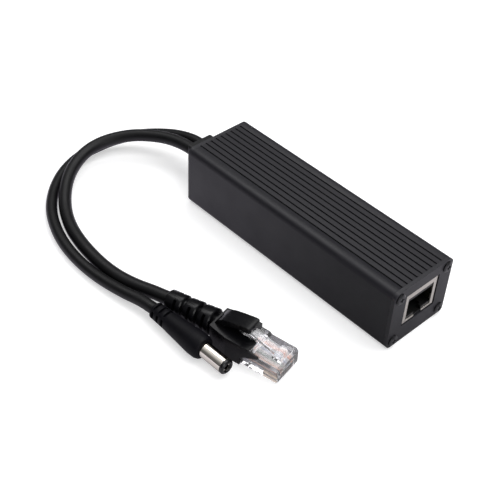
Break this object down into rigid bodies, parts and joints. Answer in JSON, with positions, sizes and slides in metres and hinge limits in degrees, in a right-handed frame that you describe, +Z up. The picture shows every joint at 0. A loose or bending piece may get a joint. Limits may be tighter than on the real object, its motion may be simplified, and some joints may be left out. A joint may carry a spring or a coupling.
{
  "type": "poe splitter",
  "caption": "Grooved black aluminium box that splits power from a network line: network socket at one end, short network and power plug cords at the other.",
  "frame": {"origin": "centre of the case in plan, on the case's underside", "axes": "+X out of the network socket along the case, +Z up"},
  "size_m": [0.1542, 0.0858, 0.0255],
  "materials": {
    "case_anodised": "black anodised, fine satin",
    "plate_anodised": "black anodised, satin",
    "screw_black": "black oxide, satin",
    "board_green": "solder mask over glass fibre",
    "film_clear": "thin polyester film",
    "shield_steel": "nickel plated sheet",
    "socket_black": "moulded black, satin",
    "contact_gold": "gold plated",
    "chip_black": "moulded epoxy",
    "ferrite_grey": "sintered ferrite, matt",
    "winding_tape": "copper winding under yellow tape",
    "can_dark": "sleeved can",
    "can_silver": "bare can with black mark",
    "coupler_white": "moulded white",
    "disc_blue": "dipped ceramic disc",
    "wire_orange": "thin insulated wires",
    "wire_red": "insulated wires",
    "relief_black": "moulded black, satin",
    "cord_black": "soft black sheath, satin",
    "boot_black": "moulded black, glossy",
    "plug_clear": "clear polycarbonate",
    "dc_plug_black": "moulded black, satin",
    "barrel_nickel": "nickel plated, bright",
    "tip_black": "moulded black"
  },
  "bodies": {
    "root": {"case_tube": "case_anodised", "front_plate": "plate_anodised", "rear_plate": "plate_anodised", "front_screws": "screw_black", "rear_screws": "screw_black", "circuit_board": "board_green", "insulating_film": "film_clear", "jack_shield": "shield_steel", "jack_housing": "socket_black", "jack_contacts": "contact_gold", "lan_transformer": "chip_black", "poe_controller": "chip_black", "bridge_rectifiers": "chip_black", "transformer_core": "ferrite_grey", "transformer_winding": "winding_tape", "input_capacitor": "can_dark", "output_capacitors": "can_silver", "output_inductor": "ferrite_grey", "output_rectifier": "chip_black", "optocoupler": "coupler_white", "isolation_capacitor": "disc_blue", "network_leads": "wire_orange", "power_leads": "wire_red", "strain_relief": "relief_black", "network_cord": "cord_black", "plug_boot": "boot_black", "plug_body": "plug_clear", "plug_contacts": "contact_gold", "plug_wires": "wire_orange", "power_cord": "cord_black", "dc_plug_housing": "dc_plug_black", "dc_barrel": "barrel_nickel", "dc_insulator": "tip_black", "dc_inner_contact": "barrel_nickel"}
  },
  "joints": []
}
